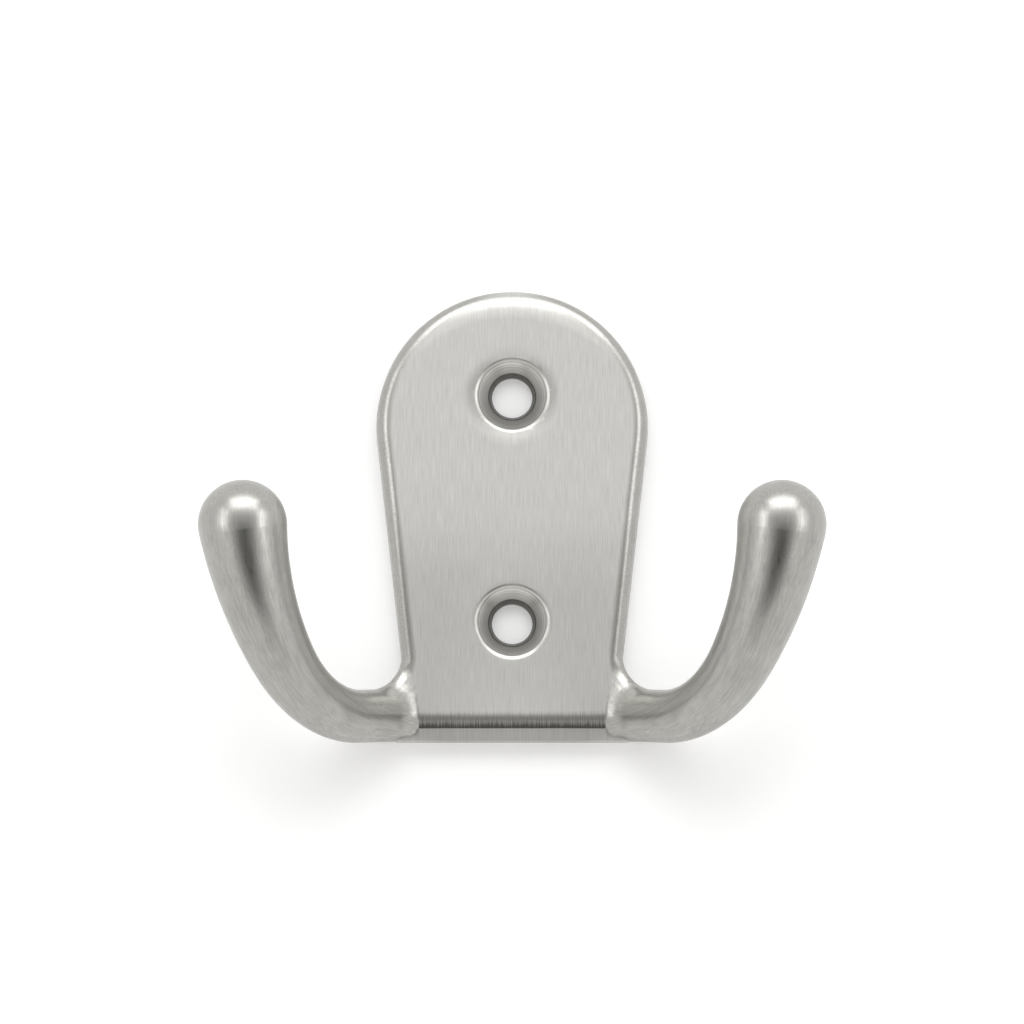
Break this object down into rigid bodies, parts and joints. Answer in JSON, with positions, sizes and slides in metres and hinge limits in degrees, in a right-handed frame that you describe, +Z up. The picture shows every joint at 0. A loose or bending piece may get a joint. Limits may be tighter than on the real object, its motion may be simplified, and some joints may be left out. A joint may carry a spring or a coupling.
{
  "type": "double robe hook",
  "caption": "Cast wall hook with a spade-shaped screw plate and splayed upturned arms that swell to ball tips, for robes and towels.",
  "frame": {"origin": "middle of the two screw holes, on the back face that lies on the wall", "axes": "+Z up along the line of the screw holes, +X across the hook, +Y into the wall, so that the front looks along -Y"},
  "size_m": [0.0702, 0.0277, 0.0525],
  "materials": {
    "satin_stainless": "satin cast stainless steel: the plate's face linished in upright lines, the arms polished along their length"
  },
  "bodies": {
    "root": {"hook_body": "satin_stainless"}
  },
  "joints": []
}
